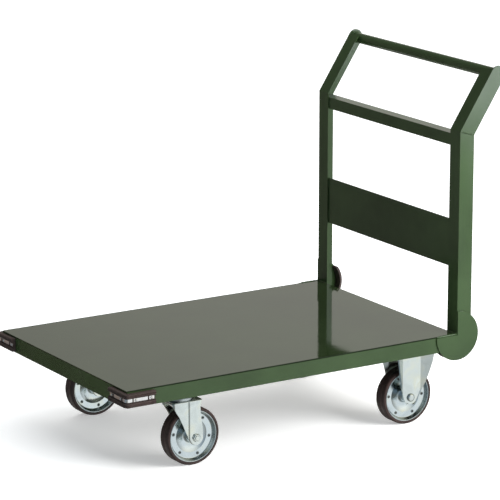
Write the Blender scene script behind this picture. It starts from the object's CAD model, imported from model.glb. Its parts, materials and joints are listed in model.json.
import json
import math

import bmesh
import bpy
import numpy as np
from mathutils import Matrix, Vector


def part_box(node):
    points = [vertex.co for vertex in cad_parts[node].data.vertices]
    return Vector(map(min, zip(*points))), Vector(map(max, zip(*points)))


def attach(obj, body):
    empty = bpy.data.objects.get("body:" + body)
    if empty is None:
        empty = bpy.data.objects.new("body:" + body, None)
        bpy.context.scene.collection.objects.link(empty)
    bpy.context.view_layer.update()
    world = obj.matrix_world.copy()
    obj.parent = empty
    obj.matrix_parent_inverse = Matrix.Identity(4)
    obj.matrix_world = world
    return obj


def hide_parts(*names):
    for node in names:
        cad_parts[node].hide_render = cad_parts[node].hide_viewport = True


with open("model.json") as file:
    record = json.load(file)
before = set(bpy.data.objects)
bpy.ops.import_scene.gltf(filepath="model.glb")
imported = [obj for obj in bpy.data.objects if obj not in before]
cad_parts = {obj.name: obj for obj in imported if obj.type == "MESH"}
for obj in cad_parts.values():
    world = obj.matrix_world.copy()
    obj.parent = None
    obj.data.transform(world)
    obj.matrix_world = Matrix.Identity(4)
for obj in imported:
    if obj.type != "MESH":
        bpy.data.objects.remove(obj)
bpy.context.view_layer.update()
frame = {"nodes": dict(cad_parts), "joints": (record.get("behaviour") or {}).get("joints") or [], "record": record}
nodes = frame["nodes"]
axes = {joint["name"]: Vector(joint["pos_m"]) for joint in frame["joints"]}

# ---- places read from the frame
FRONT_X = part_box("front_rail")[0].x
REAR_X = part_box("rear_rail")[1].x
HALF_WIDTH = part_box("side_rail_right")[1].y
FRAME_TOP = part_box("front_rail")[1].z
FRAME_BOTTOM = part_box("front_rail")[0].z
DECK_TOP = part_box("deck_plate")[1].z
POST_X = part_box("handle_post_left")[0].x
POST_INNER = -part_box("handle_post_left")[1].y
BUMPER_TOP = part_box("corner_bumper_left")[1].z
BUMPER_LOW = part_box("corner_bumper_left")[0].z

# ---- sizes that several parts share, in metres
GAP = 0.0003                # clearance between neighbouring pieces
WALL = 0.003                # of the angle steel
WHEEL_RADIUS = 0.0687
TYRE_HALF = 0.018           # half the tyre's width
RIM_RADIUS = 0.0614
RIVETS = 6
RIVET_RING = 0.048          # radius of the circle that the rivets stand on
RING_FACE = 0.0072          # outer face of that ring, from the wheel's middle plane
DISC_WALL = 0.0017
FORK_HALF = 0.030           # from the wheel's middle plane to a leg's outer face
SHEET = 0.0035              # of the forks
PLATE_WALL = 0.0032         # of the caster plates and the fixed brackets
PLATE_CORNER = 0.008


# ---- small helpers
def add_piece(name, bm, body, material, replaces=(), sharp=35, flip_check=True):
    """A new piece in world coordinates that rides on a body and stands for some CAD nodes."""
    if flip_check:
        bmesh.ops.recalc_face_normals(bm, faces=bm.faces)
    mesh = bpy.data.meshes.new(name)
    bm.to_mesh(mesh)
    bm.free()
    mesh.shade_smooth()
    mesh.set_sharp_from_angle(angle=math.radians(sharp))
    mesh.materials.append(material)
    piece = bpy.data.objects.new(name, mesh)
    bpy.context.scene.collection.objects.link(piece)
    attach(piece, body)
    if replaces:
        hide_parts(*replaces)
    return piece


def bevel(piece, width, segments=3, angle=32):
    modifier = piece.modifiers.new("edge", "BEVEL")
    modifier.width = width
    modifier.segments = segments
    modifier.limit_method = "ANGLE"
    modifier.angle_limit = math.radians(angle)
    modifier.harden_normals = True


def arc(centre, radius, start, end, steps):
    """Points along an arc, both ends included; angles in degrees."""
    turns = np.radians(np.linspace(start, end, steps + 1))
    return [(centre[0] + radius * math.cos(t), centre[1] + radius * math.sin(t)) for t in turns]


def rounded(points, radius, steps, closed=True):
    """Round the corners of an outline; an open one keeps its two ends."""
    count = len(points)
    result = []
    for i, point in enumerate(points):
        if not closed and i in (0, count - 1):
            result.append(tuple(point))
            continue
        here = Vector((*point, 0))
        back = Vector((*points[i - 1], 0)) - here
        ahead = Vector((*points[(i + 1) % count], 0)) - here
        half = back.angle(ahead) / 2
        cut = min(radius / math.tan(half), back.length * 0.49, ahead.length * 0.49)
        start = here + back.normalized() * cut
        end = here + ahead.normalized() * cut
        for k in range(steps + 1):
            t = k / steps
            bend = start * (1 - t) ** 2 + here * 2 * t * (1 - t) + end * t ** 2
            result.append((bend.x, bend.y))
    return result


def through(points, steps):
    """A smooth curve through points (Catmull-Rom), with `steps` samples for each span."""
    ends = [2 * np.array(points[0]) - np.array(points[1])]
    ends += [np.array(p) for p in points]
    ends.append(2 * np.array(points[-1]) - np.array(points[-2]))
    curve = []
    for a, b, c, d in zip(ends, ends[1:], ends[2:], ends[3:]):
        for t in np.arange(steps) / steps:
            curve.append(0.5 * (2 * b + (c - a) * t + (2 * a - 5 * b + 4 * c - d) * t ** 2
                                + (3 * b - a - 3 * c + d) * t ** 3))
    curve.append(ends[-2])
    return curve


def loft(bm, rings, around=True, closed=False, caps=True):
    """Skin rings of points; `around` closes each ring, `closed` joins the last to the first."""
    rows = [[bm.verts.new(point) for point in ring] for ring in rings]
    count = len(rows[0])
    pairs = list(zip(rows, rows[1:]))
    if closed:
        pairs.append((rows[-1], rows[0]))
    for near, far in pairs:
        for i in range(count if around else count - 1):
            j = (i + 1) % count
            bm.faces.new((near[i], near[j], far[j], far[i]))
    if caps and not closed:
        bm.faces.new(rows[0])
        bm.faces.new(rows[-1])


def turn_y(bm, profile, centre, sides, phase=0.0):
    """Turn a closed (radius, y) outline about a Y axis."""
    rings = []
    for i in range(sides):
        angle = 2 * math.pi * i / sides + phase
        rings.append([(centre[0] + r * math.cos(angle), centre[1] + y, centre[2] + r * math.sin(angle))
                      for r, y in profile])
    loft(bm, rings, closed=True)


def turn_z(bm, profile, centre, sides):
    """Turn a closed (radius, z) outline about a Z axis."""
    rings = []
    for i in range(sides):
        angle = 2 * math.pi * i / sides
        rings.append([(centre[0] + r * math.cos(angle), centre[1] + r * math.sin(angle), centre[2] + z)
                      for r, z in profile])
    loft(bm, rings, closed=True)


def stack(bm, sections, centre, axis, sides, phase=0.0):
    """A solid bar along an axis, from (radius, distance) sections, capped at both ends."""
    axis = Vector(axis).normalized()
    side = axis.orthogonal().normalized()
    up = axis.cross(side)
    rings = []
    for r, along in sections:
        ring = []
        for i in range(sides):
            angle = 2 * math.pi * i / sides + phase
            ring.append(Vector(centre) + axis * along
                        + side * (r * math.cos(angle)) + up * (r * math.sin(angle)))
        rings.append(ring)
    loft(bm, rings)


def hex_prism(bm, centre, axis, radius, low, high, phase):
    """A hexagon head or nut with chamfered corners at its far face."""
    chamfer = radius * 0.10
    sections = ((radius, low), (radius, high - chamfer), (radius * 0.90, high))
    stack(bm, sections, centre, axis, 6, phase)


def weld(bm, path, radius, seed, closed=False, step=0.0016):
    """A rippled weld bead along a path, half sunk in the joint that it fills.

    An open bead thins out towards its two ends; `step` is the pitch of its ripples.
    """
    points = [Vector(p) for p in path]
    if closed:
        points.append(points[0])
    spots = [points[0]]
    for a, b in zip(points, points[1:]):
        pieces = max(1, round((b - a).length / step))
        spots += [a.lerp(b, k / pieces) for k in range(1, pieces + 1)]
    if closed:
        spots.pop()
    noise = np.random.default_rng(seed)
    rings = []
    count = len(spots)
    for i, spot in enumerate(spots):
        before = spots[i - 1] if (i > 0 or closed) else spots[i]
        after = spots[(i + 1) % count] if (i < count - 1 or closed) else spots[i]
        along = (after - before).normalized()
        side = along.orthogonal().normalized()
        up = along.cross(side)
        ripple = 1 + 0.16 * math.cos(i * math.pi * 0.9) + 0.10 * (noise.random() - 0.5)
        if not closed:
            ripple *= min(1.0, 0.45 + 0.3 * i, 0.45 + 0.3 * (count - 1 - i))
        rings.append([spot + side * (radius * ripple * math.cos(a)) + up * (radius * ripple * math.sin(a))
                      for a in np.linspace(0, 2 * math.pi, 9)[:-1]])
    loft(bm, rings, closed=closed)


# ---- materials
class Graph:
    """Short calls that build a material's node tree."""

    def __init__(self, name, color, roughness, metallic=0.0):
        self.material = bpy.data.materials.new(name)
        self.material.use_nodes = True
        self.material.diffuse_color = (*color, 1.0)
        self.tree = self.material.node_tree
        self.shader = self.tree.nodes["Principled BSDF"]
        self.shader.inputs["Base Color"].default_value = (*color, 1.0)
        self.shader.inputs["Roughness"].default_value = roughness
        self.shader.inputs["Metallic"].default_value = metallic
        self.place = self.node("ShaderNodeTexCoord").outputs["Object"]

    def node(self, kind, **settings):
        made = self.tree.nodes.new(kind)
        for key, value in settings.items():
            setattr(made, key, value)
        return made

    def link(self, output, target):
        self.tree.links.new(output, target)

    def noise(self, scale, detail=3.0, stretch=(1, 1, 1), roughness=0.5, distortion=0.0):
        mapping = self.node("ShaderNodeMapping")
        mapping.inputs["Scale"].default_value = stretch
        self.link(self.place, mapping.inputs["Vector"])
        texture = self.node("ShaderNodeTexNoise")
        texture.inputs["Scale"].default_value = scale
        texture.inputs["Detail"].default_value = detail
        texture.inputs["Roughness"].default_value = roughness
        texture.inputs["Distortion"].default_value = distortion
        self.link(mapping.outputs["Vector"], texture.inputs["Vector"])
        return texture.outputs["Fac"]

    def ramp(self, factor, *stops):
        """Colour ramp; each stop is (position, colour)."""
        made = self.node("ShaderNodeValToRGB")
        elements = made.color_ramp.elements
        while len(elements) < len(stops):
            elements.new(0.5)
        for element, (position, color) in zip(elements, stops):
            element.position = position
            element.color = (*color, 1.0)
        self.link(factor, made.inputs["Fac"])
        return made.outputs["Color"]

    def span(self, factor, low, high, from_low=0.3, from_high=0.7):
        """Map a noise value to a range."""
        made = self.node("ShaderNodeMapRange")
        made.inputs["From Min"].default_value = from_low
        made.inputs["From Max"].default_value = from_high
        made.inputs["To Min"].default_value = low
        made.inputs["To Max"].default_value = high
        self.link(factor, made.inputs["Value"])
        return made.outputs["Result"]

    def mix(self, factor, first, color):
        """Blend from another node's colour towards a fixed one."""
        made = self.node("ShaderNodeMix", data_type="RGBA")
        self.link(factor, made.inputs["Factor"])
        self.link(first, made.inputs["A"])
        made.inputs["B"].default_value = (*color, 1.0)
        return made.outputs["Result"]

    def bump(self, height, strength, distance, after=None):
        """Relief on the surface; `after` is the normal of a finer relief under it."""
        made = self.node("ShaderNodeBump")
        made.inputs["Strength"].default_value = strength
        made.inputs["Distance"].default_value = distance
        self.link(height, made.inputs["Height"])
        if after is not None:
            self.link(after, made.inputs["Normal"])
        self.link(made.outputs["Normal"], self.shader.inputs["Normal"])
        return made.outputs["Normal"]

    def color(self, output):
        self.link(output, self.shader.inputs["Base Color"])

    def roughness(self, output):
        self.link(output, self.shader.inputs["Roughness"])

    def set(self, **values):
        for key, value in values.items():
            self.shader.inputs[key.replace("_", " ")].default_value = value


def scaled(color, factor):
    return tuple(channel * factor for channel in color)


DUST = (0.16, 0.17, 0.14)
SCUFF = (0.12, 0.105, 0.095)


def paint_material(name, color, roughness, specular):
    """Glossy enamel: orange peel, a slightly uneven coat and faint rubbed streaks."""
    graph = Graph(name, color, roughness)
    graph.set(Specular_IOR_Level=specular, IOR=1.45)
    cloud = graph.noise(9, 4)
    speck = graph.noise(420, 2)
    tone = graph.ramp(cloud, (0.30, scaled(color, 0.86)), (0.70, scaled(color, 1.14)))
    dust = graph.span(speck, 0.0, 0.05, 0.62, 0.80)
    graph.color(graph.mix(dust, tone, DUST))
    streak = graph.noise(26, 4, stretch=(1, 1, 0.2))
    graph.roughness(graph.span(streak, roughness * 0.75, roughness * 1.35))
    peel = graph.bump(graph.noise(300, 2), 0.05, 0.0004)
    graph.bump(graph.noise(34, 2), 0.06, 0.0010, after=peel)
    return graph.material


def zinc_material(name, color, roughness):
    """Bright zinc plate: bluish, with paler and straw-coloured clouds and fine drawing marks."""
    graph = Graph(name, color, roughness, 1.0)
    cloud = graph.noise(22, 5, distortion=0.6)
    tone = graph.ramp(cloud, (0.28, scaled(color, 0.86)), (0.50, color),
                      (0.66, (color[0] * 1.08, color[1] * 1.03, color[2] * 0.92)),
                      (0.80, scaled(color, 1.12)))
    fine = graph.noise(260, 3, stretch=(1, 1, 3))
    graph.color(graph.mix(graph.span(fine, 0.0, 0.10), tone, scaled(color, 0.72)))
    graph.roughness(graph.span(graph.noise(48, 5), roughness * 0.72, roughness * 1.4))
    marks = graph.bump(graph.noise(700, 3, stretch=(1, 1, 0.35)), 0.07, 0.0003)
    graph.bump(graph.noise(60, 3), 0.10, 0.0008, after=marks)
    return graph.material


def rubber_material(name, color, roughness, grain, specular):
    """Moulded rubber: satin, with fine grain, faint bloom and small scuffs."""
    graph = Graph(name, color, roughness)
    graph.set(Specular_IOR_Level=specular)
    cloud = graph.noise(28, 5)
    tone = graph.ramp(cloud, (0.3, scaled(color, 0.75)), (0.7, scaled(color, 1.35)))
    scuff = graph.span(graph.noise(170, 6, roughness=0.65), 0.0, 0.20, 0.60, 0.78)
    graph.color(graph.mix(scuff, tone, SCUFF))
    graph.roughness(graph.span(graph.noise(90, 4), roughness * 0.8, roughness * 1.2))
    fine = graph.bump(graph.noise(grain, 3), 0.22, 0.0004)
    graph.bump(graph.noise(120, 3), 0.12, 0.0006, after=fine)
    return graph.material


GREEN = (0.0235, 0.0430, 0.0160)
frame_paint = paint_material("frame_enamel", GREEN, 0.16, 0.36)
deck_paint = paint_material("deck_enamel", (0.014, 0.024, 0.009), 0.060, 0.50)
seam_paint = paint_material("seam_shadow", (0.006, 0.011, 0.005), 0.45, 0.20)
zinc = zinc_material("zinc_plate", (0.68, 0.735, 0.715), 0.19)
zinc_wheel = zinc_material("zinc_wheel", (0.62, 0.69, 0.71), 0.17)
zinc_dark = zinc_material("zinc_bolt", (0.50, 0.54, 0.55), 0.26)
hollow = rubber_material("rivet_hollow", (0.012, 0.011, 0.010), 0.70, 900, 0.20)
strip_metal = zinc_material("strip_metal", (0.86, 0.85, 0.84), 0.26)
bumper_rubber = rubber_material("bumper_rubber", (0.040, 0.027, 0.025), 0.46, 900, 0.48)
tyre_rubber = rubber_material("tyre_rubber", (0.028, 0.0170, 0.0150), 0.46, 1100, 0.34)

SLOT_MATERIALS = {"green_paint": frame_paint, "zinc": zinc, "bumper_rubber": bumper_rubber,
                  "tyre_rubber": tyre_rubber, "strip_metal": strip_metal}


# ---- CAD nodes that stay: better material, rounded edges
KEPT_EDGES = {0.0012: ("side_rail_left", "side_rail_right", "front_rail", "rear_rail", "handle_post_left",
                       "handle_post_right", "round_bumper_left", "round_bumper_right"),
              0.0010: ("front_beam_a", "front_beam_b", "rear_beam_a", "rear_beam_b", "middle_beam",
                       "crossbar"),
              0.0007: ("deck_plate", "corner_disc_left", "corner_disc_right"),
              0.0005: ("handle_panel",)}


def dress_frame():
    for entry in frame["record"]["subparts"]:
        node = nodes[entry["node"]]
        node.data.materials.clear()
        node.data.materials.append(SLOT_MATERIALS[entry["material_slot"]])
    nodes["deck_plate"].data.materials[0] = deck_paint
    for width, names in KEPT_EDGES.items():
        for name in names:
            bevel(nodes[name], width)


dress_frame()


# ---- wheels
def tyre_outline():
    """Tyre section: seat on the rim, side walls, round shoulders and fine mould lines."""
    seat = RIM_RADIUS + GAP
    side = [(seat, TYRE_HALF - 0.0010), (RIM_RADIUS + 0.0010, TYRE_HALF - 0.0002),
            (RIM_RADIUS + 0.0022, TYRE_HALF), (WHEEL_RADIUS - 0.0042, TYRE_HALF - 0.0003)]
    shoulder = arc((WHEEL_RADIUS - 0.0045, TYRE_HALF - 0.0048), 0.0045, 80, 8, 6)
    line = 0.0006           # depth of a mould line
    tread = [(WHEEL_RADIUS, 0.0125), (WHEEL_RADIUS, 0.0112), (WHEEL_RADIUS - line, 0.0108),
             (WHEEL_RADIUS - line, 0.0100), (WHEEL_RADIUS, 0.0096), (WHEEL_RADIUS, 0.0012),
             (WHEEL_RADIUS - line / 2, 0.0)]
    half = side + shoulder + tread
    return half + [(r, -y) for r, y in reversed(half[:-1])]


def disc_outline():
    """Disc half section, outer face first: hub cup, bowl, rivet ring, cone, rolled lip, back."""
    lip = TYRE_HALF - 0.0009
    bowl = through([(0.0160, 0.0056), (0.0172, 0.0032), (0.0200, 0.0018), (0.0240, 0.0019),
                    (0.0280, 0.0026), (0.0320, 0.0037), (0.0360, 0.0052), (0.0398, 0.0069)], 4)
    face = [(0.01435, 0.0085), (0.0152, 0.0085)] + [tuple(p) for p in bowl]
    face += rounded([(0.0399, 0.0069), (0.0405, 0.0073), (0.0413, RING_FACE)], 0.0004, 2, closed=False)[1:]
    face += rounded([(0.0420, RING_FACE), (0.0550, RING_FACE), (0.0588, lip - 0.0010)], 0.0036, 6,
                    closed=False)
    face += arc((0.0602, lip - 0.0010), 0.0012, 180, 0, 6)
    back = [(RIM_RADIUS, 0.0002), (0.0600, 0.0002), (0.0600, 0.0110), (0.0562, RING_FACE - DISC_WALL),
            (0.0414, RING_FACE - DISC_WALL), (0.0394, 0.0062 - DISC_WALL),
            (0.0350, 0.0018), (0.0300, 0.0002), (0.0220, 0.0002), (0.01435, 0.0002)]
    return face + back


def build_wheel(tag, phase):
    """Tyre, two pressed discs, rivets and hub of one wheel; `phase` turns the rivets."""
    centre = axes["spin_" + tag]
    body = "wheel_" + tag
    bm = bmesh.new()
    turn_y(bm, tyre_outline(), centre, 112, math.pi / 2)
    add_piece("tyre_detail_" + tag, bm, body, tyre_rubber, ("tyre_" + tag,), sharp=50)
    outward = -1 if centre.y < 0 else 1
    for half, sign in (("outer", outward), ("inner", -outward)):
        bm = bmesh.new()
        turn_y(bm, [(r, sign * y) for r, y in disc_outline()], centre, 96)
        add_piece(f"disc_{half}_detail_{tag}", bm, body, zinc_wheel,
                  (f"wheel_disc_{half}_{tag}",), sharp=40)
    bm = bmesh.new()
    holes = bmesh.new()
    eyelet = [(0.0019, 0.0), (0.0019, 0.0010), (0.0026, 0.0016), (0.0034, 0.0011), (0.0040, 0.0002),
              (0.0040, -0.0012), (0.0019, -0.0012)]
    eyelet = rounded(eyelet, 0.0003, 2)
    for k in range(RIVETS):
        angle = phase + 2 * math.pi * k / RIVETS
        spot = centre + Vector((RIVET_RING * math.cos(angle), 0, RIVET_RING * math.sin(angle)))
        for sign in (-1, 1):
            seat = spot + Vector((0, sign * RING_FACE, 0))
            floor = spot + Vector((0, sign * 0.0070, 0))
            turn_y(bm, [(r, sign * y) for r, y in eyelet], seat, 18)
            stack(holes, ((0.0018, 0.0), (0.0018, 0.0004)), floor, (0, sign, 0), 12)
    add_piece("rivets_" + tag, bm, body, zinc_dark, sharp=40)
    add_piece("rivet_hollows_" + tag, holes, body, hollow, sharp=40)

    bm = bmesh.new()
    reach = FORK_HALF - SHEET - GAP
    half = [(0.0143, reach - 0.0095), (0.0138, reach - 0.009), (0.0138, reach - 0.0035),
            (0.0105, reach), (0.0063, reach)]
    sleeve = rounded([(r, -y) for r, y in reversed(half)] + half, 0.0005, 2)
    turn_y(bm, sleeve, centre, 48)
    add_piece("hub_detail_" + tag, bm, body, zinc_wheel, ("hub_sleeve_" + tag,), sharp=40)


# the wheels stand where they last stopped, so their rivets are turned differently
WHEEL_PHASE = {"front_left": math.radians(-10), "front_right": math.radians(-18),
               "rear_left": math.radians(-4), "rear_right": math.radians(22)}
for wheel, turned in WHEEL_PHASE.items():
    build_wheel(wheel, turned)


# ---- axle bolts
SHANK = 0.0058
WASHER = 0.0100
HEX_OUTER = 0.0098
HEX_INNER = 0.0105


def build_axle(tag, body):
    """Front: bolt end with a hexagon nut outside. Rear: a low round head outside."""
    centre = axes["spin_" + tag]
    outward = -1 if centre.y < 0 else 1
    face = FORK_HALF + GAP
    out = Vector((0, outward, 0))
    bm = bmesh.new()
    if tag.startswith("front"):
        stack(bm, ((0.0098, face), (WASHER, face + 0.0002), (WASHER, face + 0.0010), (0.0096, face + 0.0012)),
              centre, out, 32)
        hex_prism(bm, centre, out, HEX_OUTER, face + 0.0012, face + 0.0044, 0.3)
        stack(bm, ((SHANK, -0.020), (SHANK, face + 0.0052), (0.0050, face + 0.0060)), centre, out, 24)
    else:
        dome = [(WASHER * math.cos(t), face + 0.0016 + 0.0040 * math.sin(t)) for t in
                np.radians((0, 12, 25, 40, 55, 70, 82))]
        stack(bm, [(0.0060, -0.020), (0.0060, face), (WASHER, face)] + dome, centre, out, 40)
    piece = add_piece("axle_bolt_detail_" + tag, bm, body, zinc, ("axle_bolt_" + tag,), sharp=38)
    bevel(piece, 0.0003, 2, 45)
    bm = bmesh.new()
    hex_prism(bm, centre, -out, HEX_INNER, face, face + 0.0065, 0.5)
    stack(bm, ((0.0059, 0.0), (0.0059, face + 0.0075), (0.0050, face + 0.0080)), centre, -out, 24)
    piece = add_piece("axle_nut_detail_" + tag, bm, body, zinc_dark, ("axle_nut_" + tag,), sharp=38)
    bevel(piece, 0.0003, 2, 45)


for side in ("left", "right"):
    build_axle("front_" + side, "caster_front_" + side)
    build_axle("rear_" + side, "root")


# ---- pressed sheet pieces
SHEET_RIM = 0.0007          # rounding of a sheet's cut edges


def add_sheet(name, rows, outward, body, material, replaces, thickness=SHEET):
    """A pressed sheet from a grid of points on its outer face; `outward` points away from it."""
    bm = bmesh.new()
    loft(bm, rows, around=False, caps=False)
    bmesh.ops.remove_doubles(bm, verts=bm.verts, dist=0.00005)
    bm.normal_update()
    facing = sum(face.normal.dot(outward(face.calc_center_median())) * face.calc_area()
                 for face in bm.faces)
    if facing < 0:
        bmesh.ops.reverse_faces(bm, faces=bm.faces)
    piece = add_piece(name, bm, body, material, replaces, sharp=40, flip_check=False)
    solid = piece.modifiers.new("sheet", "SOLIDIFY")
    solid.thickness = thickness
    solid.offset = -1
    bevel(piece, SHEET_RIM, 2, 50)


# side view of a fork's leg: (above the axle, behind the axle)
FORK_FRONT = ((0.0897, -0.0545), (0.0790, -0.0545), (0.0725, -0.0540), (0.0659, -0.0504), (0.0582, -0.0456),
              (0.0499, -0.0408), (0.0340, -0.0338), (0.0120, -0.0248), (-0.0076, -0.0163))
FORK_REAR = ((0.0897, 0.0160), (0.0831, 0.0152), (0.0770, 0.0126), (0.0731, 0.0114), (0.0500, 0.0125),
             (0.0250, 0.0165), (0.0060, 0.0177))
FORK_ROUND = 0.0180         # radius of a leg's lower end
FORK_LEAN = 0.15            # how far the flange before the crease leans in
FORK_CREASE = -0.0190       # the crease down each leg
CREASE_DEPTH = 0.0014
CREASE_HALF = 0.0020
BEND = 0.0036               # radius between the legs and the crown


def curve_value(table, height):
    """Read a (height, value) curve that runs downward."""
    dense = np.array(through(table, 8))
    return float(np.interp(-height, -dense[:, 0], dense[:, 1]))


def fork_rows(centre, top):
    """Rows of the fork's outer face: up one leg, over the crown and down the other."""
    heights = list(np.linspace(top - BEND, 0.006, 22))
    heights += [-FORK_ROUND * math.sin(t) for t in np.radians((6, 20, 34, 47, 58, 68, 77, 85))]
    leg = []
    for height in heights:
        drop = max(0.0, (top - height) / 0.030)
        lean = FORK_LEAN * min(1.0, drop) ** 2 * (3 - 2 * min(1.0, drop))
        if height > -0.0076:
            front = curve_value(FORK_FRONT, height)
        else:
            front = -math.sqrt(max(0.0, FORK_ROUND ** 2 - height ** 2))
        if height > 0.006:
            rear = curve_value(FORK_REAR, height)
        else:
            rear = math.sqrt(max(0.0, FORK_ROUND ** 2 - height ** 2))
        crease = max(front, min(FORK_CREASE, rear))
        near = crease - CREASE_HALF
        past = crease + CREASE_HALF
        xs = [front + (near - front) * k / 5 for k in range(5)]
        xs += [near, crease - CREASE_HALF / 2, crease, crease + CREASE_HALF / 2, past]
        xs += [past + (rear - past) * k / 6 for k in range(1, 7)]
        xs = [min(max(x, front), rear) for x in xs]
        groove = CREASE_DEPTH * min(1.0, 0.25 + 6 * drop)
        row = []
        for x in xs:
            dip = 0.5 + 0.5 * math.cos(math.pi * min(1.0, abs(x - crease) / CREASE_HALF))
            row.append((x, lean * max(0.0, FORK_CREASE - x) + groove * dip, height))
        leg.append(row)
    rows = []
    for side in (-1, 1):
        down = [[Vector((centre.x + x, centre.y + side * (FORK_HALF - inward), centre.z + z))
                 for x, inward, z in row] for row in leg]
        bend = []
        for angle in (0, 22, 45, 68, 90):
            turn = math.radians(angle)
            y = side * (FORK_HALF - BEND + BEND * math.cos(turn))
            z = top - BEND + BEND * math.sin(turn)
            bend.append([Vector((centre.x + x, centre.y + y, centre.z + z)) for x, _, _ in leg[0]])
        if side < 0:
            rows += list(reversed(down)) + bend[1:]
        else:
            rows += list(reversed(bend))[:-1] + down
    return rows


HOOD_FRONT = -0.0610        # the crown's front, behind the axle
HOOD_EDGE = 0.0806          # lower edge of its lip at the front, above the axle
# the same edge round a corner: (share of the turn from the side to the front, above the axle)
HOOD_LOW = ((0.0, 0.0712), (0.35, 0.0762), (0.7, 0.0792), (1.0, HOOD_EDGE))
LIP_WALL = 0.0030


def hood_rows(centre, top):
    """Rows of the crown's front lip: a flange that turns down and wraps both front corners."""
    corner = FORK_FRONT[0][1] - HOOD_FRONT
    stations = []
    for side in (-1, 1):
        turn = []
        for k in range(9):
            angle = math.pi / 2 * k / 8
            x = HOOD_FRONT + corner * (1 - math.sin(angle))
            y = side * (FORK_HALF - corner + corner * math.cos(angle))
            low = float(np.interp(k / 8, *zip(*HOOD_LOW)))
            turn.append((x, y, Vector((-math.sin(angle), side * math.cos(angle), 0)), low))
        stations.append(turn)
    reach = FORK_HALF - corner
    middle = []
    for y in np.linspace(-reach, reach, 13)[1:-1]:
        rise = 1 - (y / reach) ** 2
        middle.append((HOOD_FRONT - 0.0022 * rise, y, Vector((-1, 0, 0)), HOOD_EDGE + 0.0028 * rise))
    rows = []
    for x, y, out, low in stations[0] + middle + list(reversed(stations[1])):
        spot = centre + Vector((x, y, 0))
        profile = [(0.0075, top)]
        profile += [(BEND - BEND * math.sin(t), top - BEND + BEND * math.cos(t)) for t in
                    np.radians((0, 18, 36, 54, 72, 90))]
        profile += [(0.0012, (top - BEND) * 0.5 + low * 0.5), (0.0026, low)]
        rows.append([spot - out * back + Vector((0, 0, rise)) for back, rise in profile])
    return rows


RACE_INNER = 0.0090
RACE_OUTER = 0.0330
BALLS = 20
BALL_RING = 0.0276
BALL_RADIUS = 0.0024


def build_fork(tag):
    """Fork, crown lip, ball race and kingpin of a swivel caster."""
    centre = axes["spin_" + tag]
    swivel = axes["swivel_" + tag]
    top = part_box("fork_" + tag)[1].z - centre.z

    def outward(point):
        if point.z > centre.z + top - BEND:
            return Vector((0, point.y - centre.y, FORK_HALF))
        return Vector((0, point.y - centre.y, 0))

    def forward(point):
        return Vector((-1, 0, 0.5))

    caster, replaced = "caster_" + tag, ("fork_" + tag,)
    add_sheet("fork_detail_" + tag, fork_rows(centre, top), outward, caster, zinc, replaced)
    add_sheet("fork_lip_" + tag, hood_rows(centre, top), forward, caster, zinc, replaced, LIP_WALL)
    bm = bmesh.new()
    crown_top = centre.z + top
    plate_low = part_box("top_plate_" + tag)[0].z
    rest = (swivel.x, swivel.y, 0)
    lower = [(RACE_INNER, crown_top + GAP), (0.0300, crown_top + GAP), (0.0325, crown_top + 0.0030),
             (0.0325, crown_top + 0.0075), (0.0300, crown_top + 0.0090), (RACE_INNER, crown_top + 0.0090)]
    upper = [(RACE_INNER, crown_top + 0.0102), (0.0290, crown_top + 0.0102),
             (RACE_OUTER, crown_top + 0.0120), (RACE_OUTER, plate_low - 0.0020),
             (0.0315, plate_low - GAP), (RACE_INNER, plate_low - GAP)]
    for ring in (lower, upper):
        turn_z(bm, rounded(ring, 0.0012, 3), rest, 64)
    for k in range(BALLS):
        angle = 2 * math.pi * k / BALLS
        spot = Vector((swivel.x + BALL_RING * math.cos(angle), swivel.y + BALL_RING * math.sin(angle),
                       crown_top + 0.0096))
        bmesh.ops.create_icosphere(bm, subdivisions=2, radius=BALL_RADIUS, matrix=Matrix.Translation(spot))
    add_piece("ball_race_" + tag, bm, "root", zinc_dark, ("swivel_race_" + tag,), sharp=40)
    bm = bmesh.new()
    low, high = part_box("kingpin_" + tag)
    stack(bm, ((0.0080, low.z), (0.0105, low.z + 0.0012), (0.0118, low.z + 0.0034), (0.0118, low.z + 0.0055),
               (0.0079, low.z + 0.0055), (0.0079, high.z)), rest, (0, 0, 1), 40)
    add_piece("kingpin_detail_" + tag, bm, "root", zinc_dark, ("kingpin_" + tag,), sharp=40)


for side in ("left", "right"):
    build_fork("front_" + side)


# ---- fixed brackets
# a leg: (above the axle, front edge, rear edge, how far the front flange leans out)
BRACKET_ROWS = ((0.1112, -0.0440, 0.0590, 0.0102), (0.0900, -0.0388, 0.0560, 0.0080),
                (0.0700, -0.0345, 0.0510, 0.0058), (0.0380, -0.0282, 0.0405, 0.0024),
                (0.0160, -0.0235, 0.0305, 0.0006), (0.0030, -0.0200, 0.0240, 0.0),
                (-0.0090, -0.0155, 0.0165, 0.0), (-0.0140, -0.0105, 0.0108, 0.0),
                (-0.0160, -0.0055, 0.0055, 0.0))
BAND_FRONT = -0.0232        # the flat band between a leg's two creases
BAND_REAR = 0.0272
BAND_SHARE = 0.86           # the band's share of a leg that is narrower than it
CREASE = 0.0012
REAR_LEAN = 0.42            # slope of the rear flange


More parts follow.
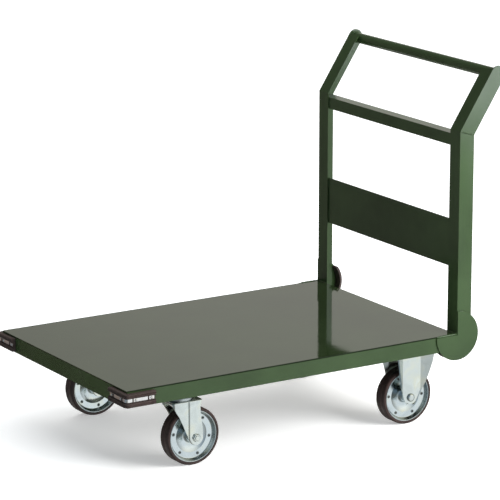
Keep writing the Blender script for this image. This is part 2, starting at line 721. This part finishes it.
def build_bracket(tag):
    """Two pressed legs and the plate of a fixed caster."""
    centre = axes["spin_" + tag]
    low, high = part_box("bracket_" + tag)
    plate_low = high.z - PLATE_WALL
    table = np.array(through(BRACKET_ROWS, 4))
    replaced = ("bracket_" + tag,)
    for name, out in (("near", -1), ("far", 1)):
        rows = []
        for rise, front, rear, lean in table:
            rise = min(rise, plate_low - centre.z)
            band_front = max(BAND_FRONT, front * BAND_SHARE)
            band_rear = min(BAND_REAR, rear * BAND_SHARE)
            marks = (front, front + (band_front - front) * 0.5, band_front - CREASE, band_front,
                     band_front + CREASE, band_front * 0.4, band_rear * 0.4, band_rear - CREASE, band_rear,
                     band_rear + CREASE, band_rear + (rear - band_rear) * 0.5, rear)
            row = []
            for x in marks:
                push = lean * max(0.0, band_front - x) / max(0.001, band_front - front)
                push += REAR_LEAN * max(0.0, x - band_rear)
                row.append(Vector((centre.x + x, centre.y + out * (FORK_HALF + push), centre.z + rise)))
            rows.append(row)
        add_sheet(f"bracket_leg_{name}_{tag}", rows, lambda point, out=out: Vector((0, out, 0)), "root", zinc,
                  replaced, PLATE_WALL)
    add_plate("bracket_plate_" + tag, Vector((low.x, low.y, plate_low)), high, replaced)


def add_plate(name, low, high, replaced):
    """A caster's flat plate with round corners, between two opposite corners."""
    bm = bmesh.new()
    outline = rounded([(low.x, low.y), (high.x, low.y), (high.x, high.y), (low.x, high.y)], PLATE_CORNER, 6)
    loft(bm, [[(x, y, z) for x, y in outline] for z in (low.z, high.z)])
    bevel(add_piece(name, bm, "root", zinc, replaced), 0.0005, 2)


BOLT_ALONG = 0.0400         # from the plate's middle to a bolt
BOLT_ACROSS = 0.0345
BOLT_HEX = 0.0074
BOLT_SHANK = 0.0040


def build_plate_bolts(tag, low, high):
    """Four bolts with nuts through a caster plate and the feet of the two beams over it."""
    bm = bmesh.new()
    for sx in (-1, 1):
        for sy in (-1, 1):
            x = (low.x + high.x) / 2 + sx * BOLT_ALONG
            y = (low.y + high.y) / 2 + sy * BOLT_ACROSS
            place = (x, y, low.z)
            up = (0, 0, 1)
            stack(bm, ((0.0085, -0.0013), (0.0085, -0.0002)), place, up, 28)
            hex_prism(bm, place, (0, 0, -1), BOLT_HEX, 0.0013, 0.0068, 0.4 * sx + sy)
            stack(bm, ((0.0034, -0.0086), (BOLT_SHANK, -0.0080), (BOLT_SHANK, 0.0065)), place, up, 20)
            hex_prism(bm, (x, y, high.z + WALL + GAP), up, BOLT_HEX, 0.0002, 0.0052, 0.9 * sx + sy)
    add_piece("plate_bolts_" + tag, bm, "root", zinc_dark, sharp=30)


for side in ("left", "right"):
    build_bracket("rear_" + side)
    plate_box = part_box("top_plate_front_" + side)
    add_plate("top_plate_detail_" + side, *plate_box, ("top_plate_front_" + side,))
    build_plate_bolts("front_" + side, *plate_box)
    bracket_low, bracket_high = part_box("bracket_rear_" + side)
    build_plate_bolts("rear_" + side, Vector((bracket_low.x, bracket_low.y, bracket_high.z - PLATE_WALL)),
                      bracket_high)


# ---- corner bumpers
# outward distances are measured from the frame's face
GROOVE_FLOOR = 0.0060
GROOVE_HALF = 0.0055
STRIP_FACE = GROOVE_FLOOR + 0.0014
END_MARGIN = 0.0030         # the metal strip stops this far from a leg's end
BRIDGES = (0.0174, 0.0573)  # rubber bridges over the strip, measured from a leg's end
BRIDGE_HALF = 0.0011
BRIDGE_TOP = 0.0090
SCREWS = (0.0095, 0.0500)   # screws, measured from a leg's end
RIBS = 4                    # fine ribs along each lobe
RIB_HEIGHT = 0.00032


def lobe(top, low):
    """One rounded lobe of the bumper's section."""
    points = [(0.0062, top), (0.0092, top), (0.0106, top - 0.0007), (0.0115, top - 0.0019)]
    start, end = top - 0.0026, low + 0.0026
    for k in range(RIBS * 4 + 1):
        t = k / (RIBS * 4)
        out = 0.0116 + RIB_HEIGHT * math.cos(2 * math.pi * RIBS * t)
        points.append((out, start + (end - start) * t))
    points += [(0.0115, low + 0.0019), (0.0106, low + 0.0007), (0.0092, low), (0.0062, low)]
    return points


def bumper_section():
    """The bumper's closed (outward, down) section: two lobes with the groove between them."""
    height = BUMPER_TOP - BUMPER_LOW
    middle = -height / 2
    upper = lobe(0.0, middle + GROOVE_HALF)
    lower = lobe(middle - GROOVE_HALF, -height)
    floor = [(GROOVE_FLOOR, middle + GROOVE_HALF - 0.0006), (GROOVE_FLOOR, middle - GROOVE_HALF + 0.0006)]
    return [(GAP, 0.0)] + upper + floor + lower + [(GAP, -height)]


def bumper_path(side, front_reach, side_reach):
    """Stations along a corner bumper: a place on the frame's face, and the direction outward."""
    steps = 10
    corner = Vector((FRONT_X, side * HALF_WIDTH, 0))
    stations = []
    for along in (side_reach, side_reach - 0.0006, side_reach * 0.66, side_reach * 0.33):
        stations.append((corner + Vector((along, 0, 0)), 0.0))
    stations += [(corner, math.pi / 2 * k / steps) for k in range(steps + 1)]
    for along in (front_reach * 0.33, front_reach * 0.66, front_reach - 0.0006, front_reach):
        stations.append((corner + Vector((0, -side * along, 0)), math.pi / 2))
    return [(place, Vector((-math.sin(turn), side * math.cos(turn), 0))) for place, turn in stations]


def sweep(bm, section, stations, top, shrink_ends=0.0005):
    """Carry a section along the stations; its two ends are drawn in a little."""
    middle = (sum(p[0] for p in section) / len(section), sum(p[1] for p in section) / len(section))
    rings = []
    for i, (place, outward) in enumerate(stations):
        ring = []
        for out, down in section:
            if i in (0, len(stations) - 1):
                pull = Vector((middle[0] - out, middle[1] - down, 0)).normalized() * shrink_ends
                out, down = out + pull.x, down + pull.y
            ring.append(place + outward * out + Vector((0, 0, top + down)))
        rings.append(ring)
    loft(bm, rings)


HEAD_RADIUS = 0.0033
HEAD_HEIGHT = 0.0017


def pan_head(bm, centre, outward):
    """Round-headed screw with a small recess in its crown."""
    crown = [(HEAD_RADIUS * math.cos(t), HEAD_HEIGHT * math.sin(t)) for t in
             np.radians((0, 15, 30, 45, 60, 72))]
    recess = [(0.0009, HEAD_HEIGHT * 0.97), (0.0007, HEAD_HEIGHT * 0.45)]
    stack(bm, [(HEAD_RADIUS, -0.0004)] + crown + recess, centre, outward, 24)


def build_corner_bumper(name, side):
    """Rubber corner, the metal strip in its groove, and the strip's screws."""
    low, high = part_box("corner_bumper_" + name)
    side_reach = high.x - FRONT_X
    front_reach = HALF_WIDTH + high.y if side < 0 else HALF_WIDTH - low.y
    path = bumper_path(side, front_reach, side_reach)
    bm = bmesh.new()
    sweep(bm, bumper_section(), path, BUMPER_TOP)
    middle = (BUMPER_TOP + BUMPER_LOW) / 2
    corner = Vector((FRONT_X, side * HALF_WIDTH, middle))
    legs = ((Vector((1, 0, 0)), side_reach, Vector((0, side, 0))),
            (Vector((0, -side, 0)), front_reach, Vector((-1, 0, 0))))
    for along, reach, outward in legs:
        for place in BRIDGES:
            spot = corner + along * (reach - place)
            half, top = BRIDGE_HALF, BRIDGE_TOP
            ring = rounded([(-half, GROOVE_FLOOR), (-half, top), (half, top), (half, GROOVE_FLOOR)],
                           0.0006, 3)
            rings = [[spot + along * a + outward * b + Vector((0, 0, rise)) for a, b in ring]
                     for rise in (-0.0064, 0.0064)]
            loft(bm, rings)
    add_piece("corner_bumper_detail_" + name, bm, "root", bumper_rubber,
              ("corner_bumper_" + name,), sharp=48)

    bm = bmesh.new()
    strip = rounded([(GROOVE_FLOOR + 0.0001, -0.0040), (GROOVE_FLOOR + 0.0001, 0.0040),
                     (STRIP_FACE, 0.0040), (STRIP_FACE, -0.0040)], 0.0004, 2)
    path = bumper_path(side, front_reach - END_MARGIN, side_reach - END_MARGIN)
    sweep(bm, strip, path, middle, 0.0002)
    add_piece("bumper_strip_detail_" + name, bm, "root", strip_metal,
              ("bumper_strip_side_" + name, "bumper_strip_front_" + name), sharp=40)
    bm = bmesh.new()
    for along, reach, outward in legs:
        for place in SCREWS:
            pan_head(bm, corner + along * (reach - place) + outward * STRIP_FACE, outward)
    add_piece("bumper_screws_" + name, bm, "root", strip_metal, sharp=30)


for name, side in (("left", -1), ("right", 1)):
    build_corner_bumper(name, side)


# ---- handle details
PIPE_RADIUS = 0.0127
PIPE_BORE = 0.0107
POST_LEG = 0.040
pipe_low, pipe_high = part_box("grip_pipe")
PIPE_CENTRE = (pipe_low + pipe_high) / 2
BEND_Z = DECK_TOP + 0.4898  # where the leaning part of a post starts
HANDLE_TILT = math.atan2(0.0945, 0.1443)


def build_grip():
    """The round pipe between the posts, open inside."""
    bm = bmesh.new()
    reach = pipe_high.y
    ring = [(PIPE_BORE, -reach), (PIPE_RADIUS, -reach), (PIPE_RADIUS, reach), (PIPE_BORE, reach)]
    turn_y(bm, ring, PIPE_CENTRE, 72)
    add_piece("grip_pipe_detail", bm, "root", frame_paint, ("grip_pipe",), sharp=40)


def build_welds():
    """Welds of the handle, the post feet and the round corner plates."""
    bm = bmesh.new()
    for seed, side in enumerate((-1, 1)):
        face = side * (HALF_WIDTH - WALL)
        circle = [Vector((PIPE_CENTRE.x + x, face - side * 0.0006, PIPE_CENTRE.z + z))
                  for x, z in arc((0, 0), PIPE_RADIUS + 0.0008, 0, 360, 48)[:-1]]
        weld(bm, circle, 0.0019, 10 + seed, closed=True)

        low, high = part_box("crossbar")
        inner = side * (HALF_WIDTH - WALL - 0.0006)
        leg_edge = side * POST_INNER
        above = high.z + 0.0004
        before = low.x + 0.0004
        weld(bm, [(low.x + 0.004, inner, above), (high.x - 0.002, inner, above)], 0.0017, 20 + seed)
        weld(bm, [(before, leg_edge, low.z + 0.002), (before, leg_edge, high.z - 0.001)], 0.0015, 30 + seed)

        low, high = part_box("handle_panel")
        before = low.x + 0.0004
        for first, start, end in ((40, low.z + 0.006, low.z + 0.030), (44, high.z - 0.030, high.z - 0.006)):
            weld(bm, [(before, leg_edge, start), (before, leg_edge, end)], 0.0014, first + seed)

        # post foot: along the deck's rear edge, and up the corner of the frame
        outer = side * (HALF_WIDTH - 0.004)
        foot = side * (HALF_WIDTH - 0.0015)
        sunk = DECK_TOP - 0.0006
        weld(bm, [(POST_X, outer, sunk), (POST_X, leg_edge, sunk)], 0.0022, 50 + seed)
        weld(bm, [(POST_X - 0.0006, foot, DECK_TOP - 0.001), (POST_X - 0.0006, foot, DECK_TOP + 0.004)],
             0.0026, 54 + seed)

        # round corner plate: on the post's side at its top, and along the side rail
        disc_low, disc_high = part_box("corner_disc_" + ("left" if side < 0 else "right"))
        plate = side * (HALF_WIDTH + 0.0004)
        weld(bm, [(POST_X + 0.006, plate, disc_high.z - 0.0004),
                  (POST_X + 0.024, plate, disc_high.z - 0.0048)], 0.0027, 60 + seed, step=0.0036)
        ridge = side * (HALF_WIDTH - 0.0008)
        sunk = DECK_TOP - 0.0008
        weld(bm, [(disc_low.x + 0.002, ridge, sunk), (POST_X + 0.002, ridge, sunk)],
             0.0028, 64 + seed, step=0.0050)
    add_piece("handle_welds", bm, "root", frame_paint, sharp=60)


def build_frame_welds():
    """Weld beads up the frame's corners and at the beams' ends."""
    bm = bmesh.new()
    seed = 100
    for sx, corner_x in ((1, FRONT_X), (-1, REAR_X)):
        for sy, corner_y in ((1, -HALF_WIDTH), (-1, HALF_WIDTH)):
            x, y = corner_x + sx * WALL, corner_y + sy * WALL
            weld(bm, [(x, y, FRAME_BOTTOM + 0.002), (x, y, FRAME_TOP - WALL)], 0.0016, seed)
            seed += 1
    for beam in ("front_beam_a", "front_beam_b", "rear_beam_a", "rear_beam_b", "middle_beam"):
        low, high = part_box(beam)
        for y in (low.y, high.y):
            end = y - math.copysign(0.0008, y)
            rest = low.z + WALL + GAP
            weld(bm, [(low.x + 0.003, end, rest), (high.x - 0.003, end, rest)], 0.0016, seed)
            seed += 1
    add_piece("frame_welds", bm, "root", frame_paint, sharp=60)


def build_deck_seams():
    """A narrow dark joint between the deck plate and the frame's top edge, along both sides."""
    bm = bmesh.new()
    low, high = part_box("deck_plate")
    inset = 0.0014
    half = 0.00028          # half the joint's width
    for side in (-1, 1):
        edge = side * (HALF_WIDTH - inset)
        spots = [(low.x + inset, edge - half), (high.x - 0.004, edge - half),
                 (high.x - 0.004, edge + half), (low.x + inset, edge + half)]
        loft(bm, [[(x, y, z) for x, y in spots] for z in (high.z - 0.0010, high.z + 0.0001)])
    add_piece("deck_seams", bm, "root", seam_paint, sharp=30)


def build_mitres():
    """Weld seams across the posts where the leaning part starts, with small pits under them."""
    bm = bmesh.new()
    pits = bmesh.new()
    slope = math.tan(HANDLE_TILT / 2)
    inset = 0.0010
    for seed, side in enumerate((-1, 1)):
        face = side * (HALF_WIDTH + 0.0001)
        start = Vector((POST_X + inset, face, BEND_Z - inset * slope))
        end = Vector((POST_X + POST_LEG - inset, face, BEND_Z - (POST_LEG - inset) * slope))
        weld(bm, [start, end], 0.0011, 70 + seed)
        low = Vector((0, 0, -0.0016))
        for a, b, half in ((0.06, 0.20, 0.0007), (0.28, 0.46, 0.0007), (0.55, 0.95, 0.0003)):
            first = start.lerp(end, a) + low
            last = start.lerp(end, b) + low
            tall = Vector((0, 0, half))
            ring = [first - tall, last - tall, last + tall, first + tall]
            loft(pits, [[p + Vector((0, side * out, 0)) for p in ring] for out in (-0.0006, 0.0001)])
    add_piece("mitre_welds", bm, "root", frame_paint, sharp=60)
    add_piece("mitre_pits", pits, "root", seam_paint, sharp=30)


build_grip()
build_welds()
build_frame_welds()
build_deck_seams()
build_mitres()


# ---- stage: floor, lights, world and camera
FLOOR_COLOR = (0.90, 0.90, 0.90)
FLOOR_GLOW = 0.40           # the floor is a lit table, so the shadow on it stays soft
FLOOR_HALF = 30.0
FLOOR_DROP = 0.0002
WORLD_BASE = (0.20, 0.195, 0.170)
# (blend, direction, cosine where a zone starts, cosine where it is full, its light)
WORLD_ZONES = (("ADD", (0.51, -0.82, -0.27), 0.50, 1.00, (0.78, 0.82, 0.86)),
               ("ADD", (0.66, 0.74, 0.12), 0.89, 0.99, (0.51, 0.50, 0.47)),
               ("ADD", (-0.45, -0.60, 0.66), 0.30, 0.95, (0.0, 0.06, 0.14)),
               ("ADD", (0.51, -0.60, 0.61), 0.72, 0.97, (0.50, 0.44, 0.32)),
               ("ADD", (-0.90, 0.20, -0.35), 0.66, 0.95, (0.0, 0.06, 0.12)),
               ("ADD", (-0.51, 0.82, -0.24), 0.70, 0.97, (0.04, 0.0, 0.0)),
               ("SUBTRACT", (-0.453, 0.847, -0.280), 0.9955, 0.9993, (0.14, 0.13, 0.12)),
               ("ADD", (-0.14, 0.82, -0.55), 0.985, 0.998, (0.80, 0.82, 0.82)))
LIGHT_AIM = (0.05, 0, 0.35)
KEY_PLACE = (1.25, -2.05, 1.12)
CARD_PLACE = (1.23, -2.02, 1.11)    # just before the key light
PANEL_SIZE = (1.6, 1.7)
KEY_RADIANCE = 12.0
CARD_RADIANCE = 5.5
CARD_COLOR = (0.98, 1.01, 1.09)
TOP_PLACE = (1.3, 2.2, 4.6)
TOP_AIM = (1.3, 2.2, 0)
TOP_SIZE = (7.0, 7.0)
TOP_RADIANCE = 2.0
TOP_COLOR = (0.97, 0.985, 1.0)
CAMERA_PLACE = (-3.5932, -5.7561, 2.1061)
CAMERA_YAW = 58.018         # degrees from +X
CAMERA_PITCH = -13.996
CAMERA_LENS = 212.14


def floor_material():
    graph = Graph("floor", FLOOR_COLOR, 0.7)
    graph.set(Specular_IOR_Level=0.2, Emission_Color=(1.0, 1.0, 1.0, 1.0), Emission_Strength=FLOOR_GLOW)
    cloud = graph.noise(1.3, 3)
    graph.color(graph.ramp(cloud, (0.3, scaled(FLOOR_COLOR, 0.985)), (0.7, FLOOR_COLOR)))
    return graph.material


def build_floor():
    mesh = bpy.data.meshes.new("floor")
    corners = [(-1, -1), (1, -1), (1, 1), (-1, 1)]
    mesh.from_pydata([(x * FLOOR_HALF, y * FLOOR_HALF, 0) for x, y in corners], [], [(0, 1, 2, 3)])
    mesh.materials.append(floor_material())
    floor = bpy.data.objects.new("floor", mesh)
    floor.location.z = -FLOOR_DROP
    floor.visible_glossy = False
    bpy.context.scene.collection.objects.link(floor)


def aim(item, target):
    item.rotation_euler = (Vector(target) - item.location).to_track_quat("-Z", "Y").to_euler()


def area_light(name, place, target, size, radiance, color=(1, 1, 1)):
    """A rectangular light that the camera doesn't see."""
    width, height = size
    light = bpy.data.lights.new(name, "AREA")
    light.shape = "RECTANGLE"
    light.size = width
    light.size_y = height
    light.color = color
    light.energy = radiance * math.pi * width * height
    item = bpy.data.objects.new(name, light)
    item.location = place
    aim(item, target)
    item.visible_camera = False
    bpy.context.scene.collection.objects.link(item)
    return item


def build_world():
    """Dim studio surround with soft zones, which the metal and enamel reflect."""
    world = bpy.data.worlds.new("studio")
    bpy.context.scene.world = world
    world.use_nodes = True
    tree = world.node_tree
    direction = tree.nodes.new("ShaderNodeTexCoord").outputs["Generated"]
    color = tree.nodes.new("ShaderNodeRGB").outputs["Color"]
    color.default_value = (*WORLD_BASE, 1.0)
    for kind, toward, start, full, glow in WORLD_ZONES:
        dot = tree.nodes.new("ShaderNodeVectorMath")
        dot.operation = "DOT_PRODUCT"
        dot.inputs[1].default_value = Vector(toward).normalized()
        tree.links.new(direction, dot.inputs[0])
        reach = tree.nodes.new("ShaderNodeMapRange")
        reach.interpolation_type = "SMOOTHSTEP"
        reach.inputs["From Min"].default_value = start
        reach.inputs["From Max"].default_value = full
        tree.links.new(dot.outputs["Value"], reach.inputs["Value"])
        add = tree.nodes.new("ShaderNodeMix")
        add.data_type = "RGBA"
        add.blend_type = kind
        tree.links.new(reach.outputs["Result"], add.inputs["Factor"])
        tree.links.new(color, add.inputs["A"])
        add.inputs["B"].default_value = (*glow, 1.0)
        color = add.outputs["Result"]
    tree.links.new(color, tree.nodes["Background"].inputs["Color"])


def build_camera():
    camera = bpy.data.cameras.new("camera")
    camera.sensor_width = 36.0
    camera.lens = CAMERA_LENS
    camera.clip_end = 100.0
    item = bpy.data.objects.new("camera", camera)
    item.location = CAMERA_PLACE
    item.rotation_euler = (math.radians(90 + CAMERA_PITCH), 0, math.radians(CAMERA_YAW - 90))
    bpy.context.scene.collection.objects.link(item)
    bpy.context.scene.camera = item


def build_lights():
    """Key, top light, and a reflection card that only the posts and welds mirror."""
    key = area_light("key", KEY_PLACE, LIGHT_AIM, PANEL_SIZE, KEY_RADIANCE)
    key.visible_glossy = False
    card = area_light("reflection_card", CARD_PLACE, LIGHT_AIM, PANEL_SIZE, CARD_RADIANCE, CARD_COLOR)
    card.visible_diffuse = False
    receivers = bpy.data.collections.new("card_receivers")
    for name in ("handle_post_left", "handle_post_right"):
        receivers.objects.link(nodes[name])
    for name in ("handle_welds", "mitre_welds"):
        receivers.objects.link(bpy.data.objects[name])
    card.light_linking.receiver_collection = receivers
    top_light = area_light("top", TOP_PLACE, TOP_AIM, TOP_SIZE, TOP_RADIANCE, TOP_COLOR)
    top_light.visible_glossy = False


build_floor()
build_world()
build_lights()
build_camera()
bpy.context.scene.view_settings.view_transform = "Standard"
bpy.context.scene.view_settings.look = "None"
